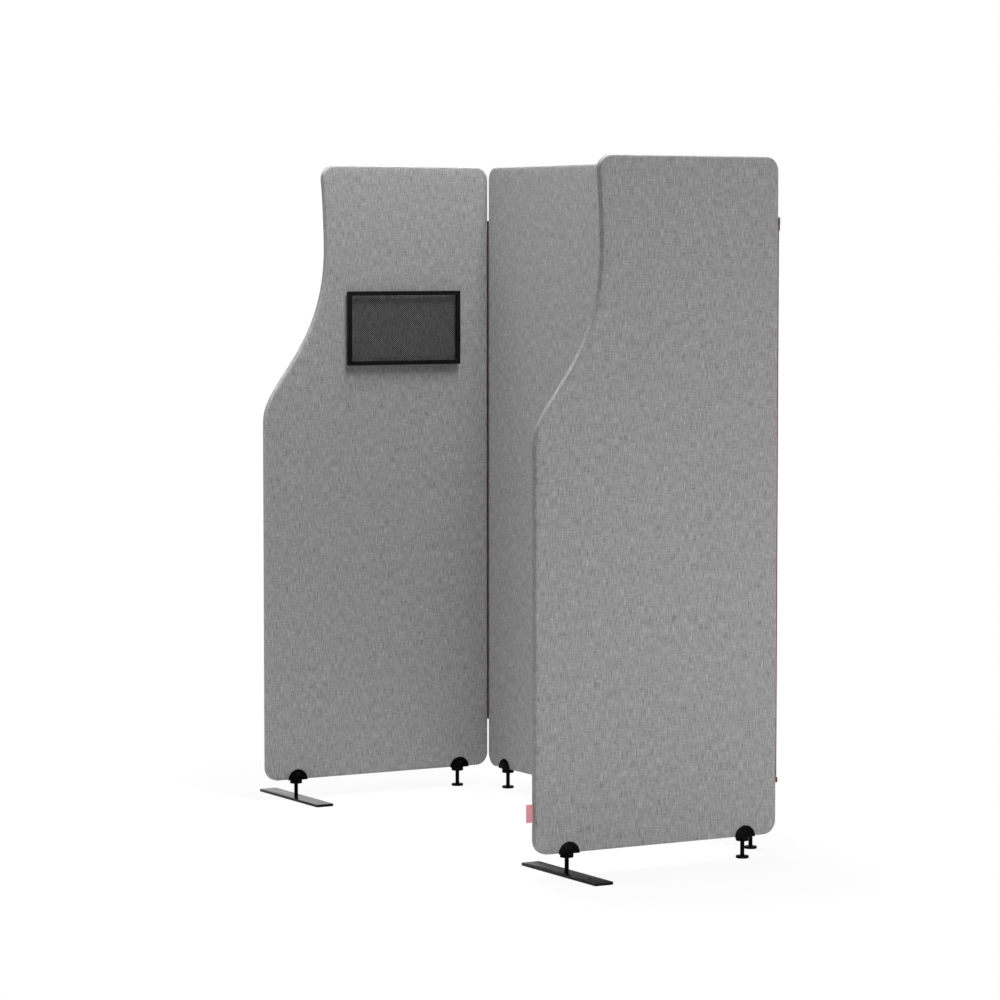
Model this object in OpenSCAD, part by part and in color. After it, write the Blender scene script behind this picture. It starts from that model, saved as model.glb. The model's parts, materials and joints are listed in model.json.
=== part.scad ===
// Free-standing acoustic screen: four upholstered panels, zipped end to end into a U.
// The back of the U runs along X, its open side faces -Y and the floor is z = 0.
// Lengths are in millimetres, angles in degrees.

/* [Panels] */
// Height of every panel
panel_h = 1900; // [1600:10:2200]
// Width of every panel
panel_w = 786; // [700:1:1000]
// Thickness of every upholstered panel
panel_t = 25; // [20:1:40]
// Height of the panels' lower edges above the floor
clearance = 62; // [45:1:120]
// Radius of the panels' corners
corner_r = 40; // [20:1:70]
// Rounding of the upholstered edges
edge_r = 4; // [2:0.5:4.5]
// Room between a wing's inner face and the back panel's end
corner_gap = 9.2; // [8:0.1:16]

/* [Wing outline] */
// Drop from a wing's top edge to the shoulder, where its free edge starts to lean in
shoulder_drop = 788; // [720:2:900]
// Reach of the shoulder's bend along the edge
shoulder_reach = 127; // [60:1:200]
// Drop from a wing's top edge to its waist, the narrowest place
waist_drop = 256; // [180:2:320]
// Reach of the waist's bend along the edge
waist_reach = 312; // [150:1:380]
// Width that the waist takes off the panel
waist_cut = 212; // [100:1:300]
// Width that is still missing at the free top corner
top_cut = 202; // [80:1:300]
// Lean of the free edge at that corner, in degrees
top_lean = 5; // [0:1:15]

/* [Panel build] */
// Thickness of the woven cover
cover_t = 1; // [0.5:0.25:1.5]
// Thickness of each of the two padding sheets
padding_t = 4; // [3.5:0.5:8]
// Width of the timber frame's rails
rail_w = 45; // [30:1:70]
// Height of the middle rail above the panel's lower edge
mid_rail_z = 1000; // [400:10:1100]

/* [Zips] */
// Height of the zips' lower ends above the panels' lower edges
zip_start = 144; // [60:1:300]
// Drop from the panels' top edges to the zips' upper ends
zip_stop = 168; // [60:1:300]
// Width of the closed teeth
teeth_w = 6; // [4:0.5:6.5]
// Width of tape that shows between the teeth and a wing's end
wing_tape_w = 4.3; // [4:0.1:8]
// Width of tape that shows on each side of the middle zip's teeth
middle_tape_w = 5.8; // [5:0.1:10]
// Thickness of the zip tape
tape_t = 1; // [0.5:0.25:1.5]
// Height of the slider
slider_h = 16; // [12:1:24]
// Length of the slider's pull
pull_l = 28; // [18:1:40]

/* [Feet] */
// Distance from a panel's ends to the middle of its feet
foot_inset = 105.5; // [60:0.5:200]
// Radius of the clamps' half-round cheeks
cheek_r = 33; // [24:1:42]
// Thickness of the cheeks
cheek_t = 2.5; // [2:0.5:4]
// Diameter of the clamps' round flange
flange_d = 37.5; // [30:0.5:60]
// Height of the flange
flange_h = 13; // [8:1:20]
// Diameter of the stem under the flange
stem_d = 12; // [11:0.5:20]
// Diameter of the threaded rod inside the stem
rod_d = 8; // [5:0.5:8]
// Diameter of the round foot pads
pad_d = 37; // [25:1:60]
// Thickness of the foot pads
pad_t = 7; // [4:0.5:12]
// Length of the foot bars under the wings' free ends
bar_l = 395; // [200:1:600]
// Width of the foot bars
bar_w = 57; // [40:1:80]
// Thickness of the foot bars
bar_t = 8; // [6.5:0.5:12]
// Diameter of the clamp screws
screw_d = 4; // [3:0.5:5]
// Length of the clamp screws under their heads
screw_l = 13; // [8:1:13]

/* [Mesh board and label] */
// Width of the mesh board
board_w = 398; // [200:2:450]
// Height of the mesh board
board_h = 230; // [150:10:350]
// Width of the board's rim
rim_w = 13; // [8:1:20]
// Depth of the board's rim
rim_d = 10; // [6:1:20]
// Distance from the wing's zipped end to the board
board_inset = 109; // [40:1:150]
// Drop from the wing's top edge to the board
board_drop = 388; // [300:2:500]
// Height of the pegs that hold the board off the cover
peg_h = 5; // [3:0.5:10]
// Thickness of the mesh
net_t = 1.2; // [0.8:0.2:2]
// Distance between the mesh's openings
net_pitch = 23; // [20:1:30]
// Reach of the textile label beyond the panel's end
label_reach = 23; // [10:1:40]
// Height of the label
label_h = 50; // [20:1:80]
// Height of the label's lower edge above the panel's lower edge
label_z = 90; // [50:1:200]

/* [Hidden] */
// Room between pieces that are fixed to each other
fit_gap = 0.1;
// Room around a pin or rod that turns or slides
run_gap = 0.05;
// Room between pieces that pass each other
pass_gap = 0.4;
// Room at the end of a rod or tenon in its blind hole
blind_gap = 1;
// Overrun of cutting shapes, and overlap of shapes that are joined
over = 1;
// Smallest radius left where an inner outline turns a corner
least_r = 2;
// Straight reach of the neck's curve above the waist
neck_reach = 60;
// Steps in a corner, in the shoulder curve, in the neck and in an edge rounding
corner_steps = 10;
shoulder_steps = 24;
neck_steps = 6;
edge_steps = 3;

// Distances from the hinge axes to the panels' ends: back panels at the corners, wings, middle
back_gap = panel_t / 2 + corner_gap;
wing_gap = teeth_w / 2 + wing_tape_w;
middle_gap = teeth_w / 2 + middle_tape_w;
// Distance between neighbouring hinge axes
hinge_step = back_gap + panel_w + middle_gap;
// Thickness of the timber frame, and how far its outside and its opening lie inside the outline
frame_t = panel_t - 2 * (cover_t + padding_t);
frame_inset = cover_t + fit_gap;
opening_inset = frame_inset + rail_w;
// The depth from the label's tip to the rear flanges is centred on the origin
wing_reach = wing_gap + panel_w + label_reach;
back_y = (wing_reach - flange_d / 2) / 2;

// Place of the second foot along a panel
far_foot = panel_w - foot_inset;
// How far the cheeks' straight lower edges hang below the panel, and where the flange starts
cheek_drop = 1.5;
flange_z = clearance - flange_h;
// The rod's bore stops below a roof in the flange, and the rod a little below that
roof_t = 3;
rod_top = clearance - roof_t - blind_gap;
// Bevel of the pads, and the foot bars' corner radius
pad_edge = 1;
bar_corner_r = 3;
// Head of the bars' bolts, and how far it lies above the floor
bolt_head_d = 14;
bolt_head_h = 4;
bolt_recess = 0.4;
// Height of the clamp screws above the panel's lower edge, their heads and the hexagon sockets
screw_z = 14;
screw_head_d = 8;
screw_head_h = 1.8;
socket_d = 4;
socket_depth = 1.1;

// Heights of the zips' two ends, and of the slider below the closed zip's stop
zip_low = clearance + zip_start;
zip_high = clearance + panel_h - zip_stop;
stop_h = 4;
slider_z = zip_high - stop_h - pass_gap - slider_h;
// Height of the lower box; outer radius of the slider's sleeve, the box and the stop
box_h = 14;
sleeve_wall = 1.4;
sleeve_r = teeth_w / 2 + sleeve_wall;
slot_w = tape_t + 2 * pass_gap;
// The tape halves start at the teeth, and clear of the sleeves on the half that turns
fixed_tape_x = teeth_w / 2 + fit_gap;
swung_tape_x = sleeve_r + pass_gap;
// The plate that holds the pull sits beside the teeth, clear of the tape that folds past it
bail_x = 1.9;
bail_w = 6.2;
bail_y = 1.2;
bail_t = 2.3;
// Lugs of the plate, and the pin between them
lug_t = 0.8;
lug_d = 3.2;
pin_d = 1.8;
pin_reach = 1.8;
pin_drop = 5;
pin_y = bail_y + bail_t + pin_reach;
pin_z = slider_z + slider_h - pin_drop;
// The pull: its eye round the pin, its neck, plate and hole
eye_d = 3.2;
pull_t = 1.6;
pull_w = 6;
pull_neck = 3.4;
pull_hole_d = 3;

// The board's mesh lies on the pegs, and its rim on the mesh
net_y = panel_t / 2 + peg_h;
rim_y = net_y + net_t;
peg_d = 10;
peg_inset = rim_w / 2;
// The pegs' spikes, and the tenons that hold mesh and rim
spike_d = 1.6;
spike_l = 9;
tenon_d = 4;
// Width of the mesh's strands, and thickness of the label
net_strand = 4;
label_t = 1;

$fn = 48;

// Points on an arc about c
function arc(c, r, from, to, steps) =
    [for (i = [0:steps]) let (a = from + (to - from) * i / steps) c + r * [cos(a), sin(a)]];

// Points on a curve from p to s with handles q and r, moved in by inset on its left side
function bend(p, q, r, s, inset, steps) = [
    for (i = [0:steps]) let (
        t = i / steps,
        at = p * pow(1 - t, 3) + 3 * q * t * pow(1 - t, 2) + 3 * r * t * t * (1 - t) + s * pow(t, 3),
        way = (q - p) * pow(1 - t, 2) + 2 * (r - q) * t * (1 - t) + (s - r) * t * t
    ) at + inset * [-way[1], way[0]] / norm(way)
];

// A panel's outline moved in by inset, from the zipped end at x = 0 to the free end at panel_w
function outline(inset, wing) = let (
    c = max(corner_r, inset + least_r),
    r = c - inset,
    lean = wing ? top_lean : 0,
    // Where the neck's edge meets the top corner's arc
    neck = [panel_w - (wing ? top_cut : 0), panel_h - corner_r * (1 + sin(lean))],
    top = [neck[0] + ((panel_h - c - neck[1]) * sin(lean) - c) / cos(lean), panel_h - c],
    shoulder_z = panel_h - shoulder_drop,
    waist = [panel_w - waist_cut, panel_h - waist_drop],
    edge = concat(
        bend([panel_w, shoulder_z], [panel_w, shoulder_z + shoulder_reach],
             waist - [0, waist_reach], waist, inset, shoulder_steps),
        bend(waist, waist + [0, neck_reach],
             neck - neck_reach * [sin(lean), cos(lean)], neck, inset, neck_steps))
) concat(
    arc([c, c], r, 180, 270, corner_steps),
    arc([panel_w - c, c], r, 270, 360, corner_steps),
    wing ? [for (i = [0:len(edge) - 1])
            if (i != shoulder_steps && edge[i][1] < top[1] - r * sin(lean) - fit_gap) edge[i]] : [],
    arc(top, r, -lean, 90, corner_steps),
    arc([c, panel_h - c], r, 90, 180, corner_steps)
);

// A flat sheet of the panel's outline, thick across y, centred on the panel's middle plane
module sheet(inset, thick, wing) {
    translate([0, 0, clearance]) rotate([90, 0, 0])
        linear_extrude(thick, center = true) polygon(outline(inset, wing));
}

// The upholstered outside: the panel's outline with rounded edges on both faces
module pillow(wing) {
    half = [for (i = [0:edge_steps]) let (a = 90 * i / edge_steps)
            [edge_r * (1 - sin(a)), panel_t / 2 - edge_r * (1 - cos(a))]];
    rings = concat([for (h = half) [h[0], -h[1]]],
                   [for (i = [edge_steps:-1:0]) half[i]]);
    count = len(outline(0, wing));
    last = len(rings) - 1;
    points = [for (ring = rings) for (p = outline(ring[0], wing)) [p[0], ring[1], p[1]]];
    sides = [for (k = [0:last - 1]) for (i = [0:count - 1]) let (j = (i + 1) % count)
             [k * count + i, k * count + j, (k + 1) * count + j, (k + 1) * count + i]];
    caps = [[for (i = [count - 1:-1:0]) i], [for (i = [0:count - 1]) last * count + i]];
    translate([0, 0, clearance]) polyhedron(points, concat(sides, caps));
}

// Everything between the two faces at the height of the middle rail, grown by gap
module mid_rail(thick, gap) {
    translate([frame_inset + rail_w / 2, -thick / 2, clearance + mid_rail_z - gap])
        cube([panel_w - 2 * frame_inset - rail_w, thick, rail_w + 2 * gap]);
}

// Holes for the clamp screws, right through a panel at both of its feet
module screw_holes() {
    for (x = [foot_inset, far_foot]) translate([x, 0, clearance + screw_z]) rotate([90, 0, 0])
        cylinder(d = screw_d + 2 * fit_gap, h = panel_t + 2 * over, center = true);
}

module timber_frame(wing) color("BurlyWood") difference() {
    union() {
        difference() {
            sheet(frame_inset, frame_t, wing);
            sheet(opening_inset, frame_t + over, wing);
        }
        mid_rail(frame_t, 0);
    }
    screw_holes();
}

module felt_core(wing) color("Khaki") difference() {
    sheet(opening_inset + fit_gap, frame_t, wing);
    mid_rail(frame_t + over, fit_gap);
}

module padding(wing) color("WhiteSmoke") difference() {
    for (side = [-1, 1]) translate([0, side * (frame_t + padding_t) / 2, 0])
        sheet(edge_r + fit_gap, padding_t, wing);
    screw_holes();
}

module cover(wing) color([0.55, 0.55, 0.55]) difference() {
    pillow(wing);
    sheet(cover_t, panel_t - 2 * edge_r, wing);
    sheet(edge_r, panel_t - 2 * cover_t, wing);
    screw_holes();
}

// The clamp under a panel at x, with a stem that reaches down to low
module clamp(x, low) color([0.08, 0.08, 0.08]) translate([x, 0, 0]) difference() {
    union() {
        for (side = [-1, 1]) intersection() {
            translate([0, side * (panel_t / 2 + fit_gap + cheek_t / 2), clearance - cheek_drop])
                rotate([90, 0, 0]) cylinder(r = cheek_r, h = cheek_t, center = true);
            translate([-cheek_r, -cheek_r, clearance - cheek_drop])
                cube([2 * cheek_r, 2 * cheek_r, cheek_r]);
        }
        translate([0, 0, flange_z]) cylinder(d = flange_d, h = flange_h - fit_gap);
        translate([0, 0, low]) cylinder(d = stem_d, h = flange_z - low + over);
    }
    translate([0, 0, low - over])
        cylinder(d = rod_d + 2 * run_gap, h = clearance - roof_t - low + over);
    translate([0, 0, clearance + screw_z]) rotate([90, 0, 0])
        cylinder(d = screw_d + 2 * fit_gap, h = panel_t + 2 * (cheek_t + over), center = true);
}

// The four screws that hold a panel's two clamps, with hexagon sockets
module clamp_screws() color([0.12, 0.12, 0.12]) for (x = [foot_inset, far_foot], side = [-1, 1])
    translate([x, side * (panel_t / 2 + fit_gap + cheek_t), clearance + screw_z])
        rotate([-90 * side, 0, 0]) difference() {
            union() {
                translate([0, 0, -screw_l]) cylinder(d = screw_d, h = screw_l + fit_gap);
                translate([0, 0, fit_gap]) cylinder(d = screw_head_d, h = screw_head_h);
            }
            translate([0, 0, fit_gap + screw_head_h - socket_depth])
                cylinder(d = socket_d, h = socket_depth + over, $fn = 6);
        }

// A round foot: a pad turned from the solid with its threaded rod
module round_foot(x) color([0.1, 0.1, 0.1]) translate([x, 0, 0]) rotate_extrude()
    polygon([[0, 0], [pad_d / 2 - pad_edge, 0], [pad_d / 2, pad_edge],
             [pad_d / 2, pad_t - pad_edge], [pad_d / 2 - pad_edge, pad_t],
             [rod_d / 2, pad_t], [rod_d / 2, rod_top], [0, rod_top]]);

// A flat bar that stands across the panel's end and turns on its bolt
module bar_foot() color([0.1, 0.1, 0.1]) translate([far_foot, 0, 0]) difference() {
    linear_extrude(bar_t) polygon(concat(
        arc([bar_w / 2 - bar_corner_r, bar_l / 2 - bar_corner_r], bar_corner_r, 0, 90, edge_steps),
        arc([bar_corner_r - bar_w / 2, bar_l / 2 - bar_corner_r], bar_corner_r, 90, 180, edge_steps),
        arc([bar_corner_r - bar_w / 2, bar_corner_r - bar_l / 2], bar_corner_r, 180, 270, edge_steps),
        arc([bar_w / 2 - bar_corner_r, bar_corner_r - bar_l / 2], bar_corner_r, 270, 360, edge_steps)));
    translate([0, 0, -over]) cylinder(d = rod_d + 2 * run_gap, h = bar_t + 2 * over);
    translate([0, 0, -over])
        cylinder(d = bolt_head_d + 2 * pass_gap, h = over + bolt_recess + bolt_head_h + run_gap);
}

// The bolt that holds a foot bar, its head sunk in the bar's underside
module bar_bolt() color([0.15, 0.15, 0.15]) translate([far_foot, 0, bolt_recess]) difference() {
    union() {
        cylinder(d = bolt_head_d, h = bolt_head_h);
        cylinder(d = rod_d, h = rod_top - bolt_recess);
    }
    translate([0, 0, -over]) cylinder(d = socket_d, h = over + socket_depth, $fn = 6);
}

// Half of a zip's tape, from inner, its distance to the hinge axis, to outer, the panel's end
module tape(inner, outer) color([0.45, 0.12, 0.17])
    translate([inner, -tape_t / 2, zip_low]) cube([outer - inner, tape_t, zip_high - zip_low]);

// A round sleeve about the teeth, open where the parent panel's tape leaves them
module sleeve(low, high, bore_d) translate([0, 0, low]) difference() {
    cylinder(r = sleeve_r, h = high - low);
    translate([0, 0, -over]) cylinder(d = bore_d, h = high - low + 2 * over);
    translate([0, -slot_w / 2, -over]) cube([sleeve_r + over, slot_w, high - low + 2 * over]);
}

// The closed teeth on the hinge axis, with the box at their foot and the stop at their top
module teeth() color([0.2, 0.1, 0.12]) {
    translate([0, 0, zip_low]) cylinder(d = teeth_w, h = zip_high - zip_low);
    sleeve(zip_low, zip_low + box_h, teeth_w - over);
    sleeve(zip_high - stop_h, zip_high, teeth_w - over);
}

// The slider's sleeve round the teeth, with a plate and two lugs that hold the pull's pin
module slider() color([0.25, 0.25, 0.27]) {
    sleeve(slider_z, slider_z + slider_h, teeth_w + 2 * run_gap);
    translate([bail_x, bail_y, slider_z]) difference() {
        cube([bail_w, bail_t, slider_h]);
        translate([-bail_x, -bail_y, -over])
            cylinder(d = teeth_w + 2 * run_gap, h = slider_h + 2 * over);
    }
    for (x = [bail_x, bail_x + bail_w - lug_t])
        translate([x, bail_y + bail_t - over, pin_z - lug_d / 2])
            cube([lug_t, pin_y + lug_d / 2 - bail_y - bail_t + over, lug_d]);
    translate([bail_x + lug_t / 2, pin_y, pin_z]) rotate([0, 90, 0])
        cylinder(d = pin_d, h = bail_w - lug_t);
}

// The pull, hanging from the pin between the lugs
module pull() color([0.25, 0.25, 0.27])
    translate([bail_x + bail_w / 2, pin_y, pin_z]) difference() {
        eye_w = bail_w - 2 * lug_t - 2 * pass_gap;
        union() {
            rotate([0, 90, 0]) cylinder(d = eye_d, h = eye_w, center = true);
            translate([-eye_w / 2, -pull_t / 2, -pull_neck - over]) cube([eye_w, pull_t, pull_neck]);
            translate([-pull_w / 2, -pull_t / 2, -pull_l]) cube([pull_w, pull_t, pull_l - pull_neck]);
        }
        rotate([0, 90, 0]) cylinder(d = pin_d + 2 * run_gap, h = pull_w, center = true);
        translate([0, 0, pull_w / 2 - pull_l]) rotate([90, 0, 0])
            cylinder(d = pull_hole_d, h = pull_t + over, center = true);
    }

module board_rim() color([0.08, 0.08, 0.08]) on_board(rim_y) difference() {
    cube([board_w, rim_d, board_h]);
    translate([rim_w, -over, rim_w])
        cube([board_w - 2 * rim_w, rim_d + 2 * over, board_h - 2 * rim_w]);
    board_corners() rotate([-90, 0, 0])
        cylinder(d = tenon_d + 2 * fit_gap, h = rim_d, center = true);
}

// A sheet with rows of diamond openings, every second row half a step along
module board_net() color([0.1, 0.1, 0.1]) on_board(net_y) difference() {
    cube([board_w, net_t, board_h]);
    columns = floor((board_w - 2 * rim_w) / net_pitch);
    rows = floor((board_h - 2 * rim_w) / net_pitch * 2) - 1;
    step_x = (board_w - 2 * rim_w) / columns;
    step_z = (board_h - 2 * rim_w) / (rows + 1);
    half_x = step_x / 2 - net_strand / 2;
    half_z = step_z - net_strand / 2;
    for (row = [0:rows - 1]) for (column = [0:columns - 1 - row % 2])
        translate([rim_w + step_x * (column + (row % 2 == 0 ? 0.5 : 1)), net_t / 2,
                   rim_w + step_z * (row + 1)])
            rotate([90, 0, 0]) linear_extrude(net_t + over, center = true)
                polygon([[half_x, 0], [0, half_z], [-half_x, 0], [0, -half_z]]);
    board_corners() rotate([-90, 0, 0])
        cylinder(d = tenon_d + 2 * fit_gap, h = 2 * net_t + over, center = true);
}

// Pegs behind the board's corners: a tenon holds mesh and rim, a spike goes into the panel
module board_pegs() color([0.1, 0.1, 0.1]) on_board(panel_t / 2) board_corners() rotate([-90, 0, 0]) {
    cylinder(d = peg_d, h = peg_h);
    cylinder(d = tenon_d, h = peg_h + net_t + rim_d / 2 - blind_gap);
    translate([0, 0, -spike_l]) cylinder(d = spike_d, h = spike_l + over);
}

// The board's lower corner next to the zipped end, y millimetres from the panel's middle plane
module on_board(y) {
    translate([board_inset, y, clearance + panel_h - board_drop - board_h]) children();
}

module board_corners() {
    for (x = [peg_inset, board_w - peg_inset], z = [peg_inset, board_h - peg_inset])
        translate([x, 0, z]) children();
}

module label() color([0.82, 0.52, 0.55])
    translate([panel_w, -label_t / 2, clearance + label_z])
        cube([label_reach, label_t, label_h]);

// A corner zip's frame: x runs from its hinge axis along the back panel, -y is the inside
module on_corner(side) {
    if (side > 0) mirror([1, 0, 0]) translate([-hinge_step, back_y, 0]) children();
    else translate([-hinge_step, back_y, 0]) children();
}

// The same with x along the wing, +y the inside
module on_fold(side) {
    on_corner(side) rotate([0, 0, -90]) children();
}

// The middle zip's frame: x runs from its hinge axis along the left back panel
module on_middle() {
    translate([0, back_y, 0]) mirror([1, 0, 0]) children();
}

// A back panel's frame: x runs from its outer end to its inner end, -y is the inside
module on_back(side) {
    on_corner(side) translate([back_gap, 0, 0]) children();
}

// A wing's frame: x runs from its zipped end to its free end, +y is the inside
module on_wing(side) {
    on_fold(side) translate([wing_gap, 0, 0]) children();
}

on_wing(-1) timber_frame(true);  // left_wing_frame
on_wing(-1) felt_core(true);  // left_wing_core
on_wing(-1) padding(true);  // left_wing_padding
on_wing(-1) cover(true);  // left_wing_cover
on_back(-1) timber_frame(false);  // left_back_frame
on_back(-1) felt_core(false);  // left_back_core
on_back(-1) padding(false);  // left_back_padding
on_back(-1) cover(false);  // left_back_cover
on_back(1) timber_frame(false);  // right_back_frame
on_back(1) felt_core(false);  // right_back_core
on_back(1) padding(false);  // right_back_padding
on_back(1) cover(false);  // right_back_cover
on_wing(1) timber_frame(true);  // right_wing_frame
on_wing(1) felt_core(true);  // right_wing_core
on_wing(1) padding(true);  // right_wing_padding
on_wing(1) cover(true);  // right_wing_cover
on_corner(-1) tape(fixed_tape_x, back_gap);  // left_zip_back_tape
on_fold(-1) tape(swung_tape_x, wing_gap);  // left_zip_wing_tape
on_corner(-1) teeth();  // left_zip_teeth
on_corner(-1) slider();  // left_zip_slider
on_corner(-1) pull();  // left_zip_pull
on_middle() tape(fixed_tape_x, middle_gap);  // middle_zip_left_tape
translate([0, back_y, 0]) tape(swung_tape_x, middle_gap);  // middle_zip_right_tape
on_middle() teeth();  // middle_zip_teeth
on_middle() slider();  // middle_zip_slider
on_middle() pull();  // middle_zip_pull
on_corner(1) tape(fixed_tape_x, back_gap);  // right_zip_back_tape
on_fold(1) tape(swung_tape_x, wing_gap);  // right_zip_wing_tape
on_corner(1) teeth();  // right_zip_teeth
on_corner(1) slider();  // right_zip_slider
on_corner(1) pull();  // right_zip_pull
on_wing(-1) clamp(foot_inset, pad_t + fit_gap);  // left_wing_rear_clamp
on_wing(-1) clamp(far_foot, bar_t + fit_gap);  // left_wing_front_clamp
on_wing(-1) clamp_screws();  // left_wing_clamp_screws
on_wing(-1) round_foot(foot_inset);  // left_wing_rear_foot
on_wing(-1) bar_foot();  // left_wing_bar_foot
on_wing(-1) bar_bolt();  // left_wing_bar_bolt
on_back(-1) clamp(foot_inset, pad_t + fit_gap);  // left_back_outer_clamp
on_back(-1) clamp(far_foot, pad_t + fit_gap);  // left_back_inner_clamp
on_back(-1) clamp_screws();  // left_back_clamp_screws
on_back(-1) round_foot(foot_inset);  // left_back_outer_foot
on_back(-1) round_foot(far_foot);  // left_back_inner_foot
on_back(1) clamp(foot_inset, pad_t + fit_gap);  // right_back_outer_clamp
on_back(1) clamp(far_foot, pad_t + fit_gap);  // right_back_inner_clamp
on_back(1) clamp_screws();  // right_back_clamp_screws
on_back(1) round_foot(foot_inset);  // right_back_outer_foot
on_back(1) round_foot(far_foot);  // right_back_inner_foot
on_wing(1) clamp(foot_inset, pad_t + fit_gap);  // right_wing_rear_clamp
on_wing(1) clamp(far_foot, bar_t + fit_gap);  // right_wing_front_clamp
on_wing(1) clamp_screws();  // right_wing_clamp_screws
on_wing(1) round_foot(foot_inset);  // right_wing_rear_foot
on_wing(1) bar_foot();  // right_wing_bar_foot
on_wing(1) bar_bolt();  // right_wing_bar_bolt
on_wing(-1) board_rim();  // mesh_board_rim
on_wing(-1) board_net();  // mesh_board_net
on_wing(-1) board_pegs();  // mesh_board_pegs
on_wing(1) label();
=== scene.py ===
"""The finished look of a free-standing acoustic screen: four upholstered panels zipped into a U."""

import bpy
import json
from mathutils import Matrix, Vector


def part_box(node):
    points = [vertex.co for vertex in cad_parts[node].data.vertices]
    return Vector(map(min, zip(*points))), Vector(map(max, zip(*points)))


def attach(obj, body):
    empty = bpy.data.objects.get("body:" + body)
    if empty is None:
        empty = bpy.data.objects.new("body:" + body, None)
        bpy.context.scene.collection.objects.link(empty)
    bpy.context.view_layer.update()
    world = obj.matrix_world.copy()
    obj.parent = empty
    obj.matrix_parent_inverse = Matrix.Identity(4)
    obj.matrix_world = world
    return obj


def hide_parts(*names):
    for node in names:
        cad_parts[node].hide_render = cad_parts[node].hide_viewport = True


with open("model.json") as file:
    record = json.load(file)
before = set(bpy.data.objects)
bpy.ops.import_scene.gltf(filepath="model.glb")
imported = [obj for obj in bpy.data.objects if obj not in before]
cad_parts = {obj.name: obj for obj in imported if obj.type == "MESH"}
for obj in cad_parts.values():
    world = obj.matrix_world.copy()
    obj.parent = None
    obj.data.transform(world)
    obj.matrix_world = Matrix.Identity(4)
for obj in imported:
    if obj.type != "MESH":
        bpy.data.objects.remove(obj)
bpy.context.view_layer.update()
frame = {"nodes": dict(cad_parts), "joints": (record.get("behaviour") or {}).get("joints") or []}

import json
import math

import bmesh
import bpy
from mathutils import Matrix, Vector, noise
from mathutils.geometry import interpolate_bezier

MM = 0.001
TURN = 2 * math.pi

# Sizes that the frame gives: hinge axes, panels, clamps, feet, zips, mesh board and label
JOINTS = {joint["name"]: joint for joint in frame["joints"]}
STEP, BACK_Y = JOINTS["right_fold"]["pos_m"][:2]
PANEL_LOW, PANEL_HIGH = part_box("left_back_cover")
PANEL_W, PANEL_T, PANEL_H = PANEL_HIGH - PANEL_LOW
CLEARANCE = PANEL_LOW.z
BACK_GAP = PANEL_LOW.x + STEP
MIDDLE_GAP = -PANEL_HIGH.x
WING_GAP = BACK_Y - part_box("left_wing_cover")[1].y
CLAMP_LOW, CLAMP_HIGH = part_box("left_back_outer_clamp")
NEAR_FOOT = (CLAMP_LOW.x + CLAMP_HIGH.x) / 2 - PANEL_LOW.x
FAR_FOOT = PANEL_W - NEAR_FOOT
CHEEK_R = (CLAMP_HIGH.x - CLAMP_LOW.x) / 2
FLANGE_R = (CLAMP_HIGH.y - CLAMP_LOW.y) / 2
PAD_LOW, PAD_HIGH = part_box("left_back_outer_foot")
PAD_R = (PAD_HIGH.x - PAD_LOW.x) / 2
ROD_TOP = PAD_HIGH.z
BAR_LOW, BAR_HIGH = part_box("left_wing_bar_foot")
BAR_L, BAR_W, BAR_T = BAR_HIGH - BAR_LOW
ZIP_LOW, ZIP_HIGH = (corner.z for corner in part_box("left_zip_teeth"))
SLIDER_LOW, SLIDER_HIGH = (corner.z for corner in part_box("left_zip_slider"))
PULL_LOW, PULL_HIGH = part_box("left_zip_pull")
PIN = Vector(JOINTS["left_zip_pull_swing"]["pos_m"]) + Vector((STEP, -BACK_Y, 0))
RIM_LOW, RIM_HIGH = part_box("mesh_board_rim")
NET_LOW, NET_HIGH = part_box("mesh_board_net")
LABEL_LOW, LABEL_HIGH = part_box("label")

# Outline of a panel, and of a wing's free edge
CORNER_R = 40 * MM
SHOULDER_DROP = 788 * MM
SHOULDER_REACH = 127 * MM
WAIST_DROP = 256 * MM
WAIST_REACH = 312 * MM
WAIST_CUT = 212 * MM
TOP_CUT = 202 * MM
NECK_REACH = 60 * MM
TOP_LEAN = math.radians(5)

# Upholstery: rounded edges, the sewn seam round the middle of the edge and the padding's crown
EDGE_R = 5 * MM
SEAM_HALF = 1.4 * MM
SEAM_SLOPE = 0.25 * MM
SEAM_DEPTH = 1.15 * MM
CROWN = ((6 * MM, 0.45 * MM), (8 * MM, 0.2 * MM), (10 * MM, 0))
FACE_STEP = 60 * MM
WAVE = 0.2 * MM
WAVES_PER_M = 7


def on_corner(side):
    """The frame of a corner zip: x runs from its hinge axis along the back panel, +y outwards."""
    return Matrix.Translation((side * STEP, BACK_Y, 0)) @ Matrix.Diagonal((-side, 1, 1, 1))


def on_back(side):
    """The frame of a back panel: x runs from its outer end to its inner end, +y outwards."""
    return on_corner(side) @ Matrix.Translation((BACK_GAP, 0, 0))


def on_wing(side):
    """The frame of a wing: x runs from its zipped end to its free end, +y into the U."""
    return on_corner(side) @ Matrix.Rotation(-math.pi / 2, 4, "Z") @ Matrix.Translation((WING_GAP, 0, 0))


def on_middle():
    """The frame of the middle zip: x runs from its hinge axis along the left back panel."""
    return Matrix.Translation((0, BACK_Y, 0)) @ Matrix.Diagonal((-1, 1, 1, 1))


def everything(bm):
    return bm.verts[:] + bm.edges[:] + bm.faces[:]


def of_kind(geometry, kind):
    return [part for part in geometry if isinstance(part, kind)]


def soften(bm, width, segments=2, sharper_than=30):
    """Bevels each edge whose faces meet at more than an angle in degrees."""
    bm.normal_update()
    sharp = [e for e in bm.edges
             if len(e.link_faces) == 2 and e.calc_face_angle() > math.radians(sharper_than)]
    bmesh.ops.bevel(bm, geom=sharp, offset=width, offset_type="OFFSET", segments=segments, profile=0.5,
                    affect="EDGES", material=-1, clamp_overlap=True)


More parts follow.
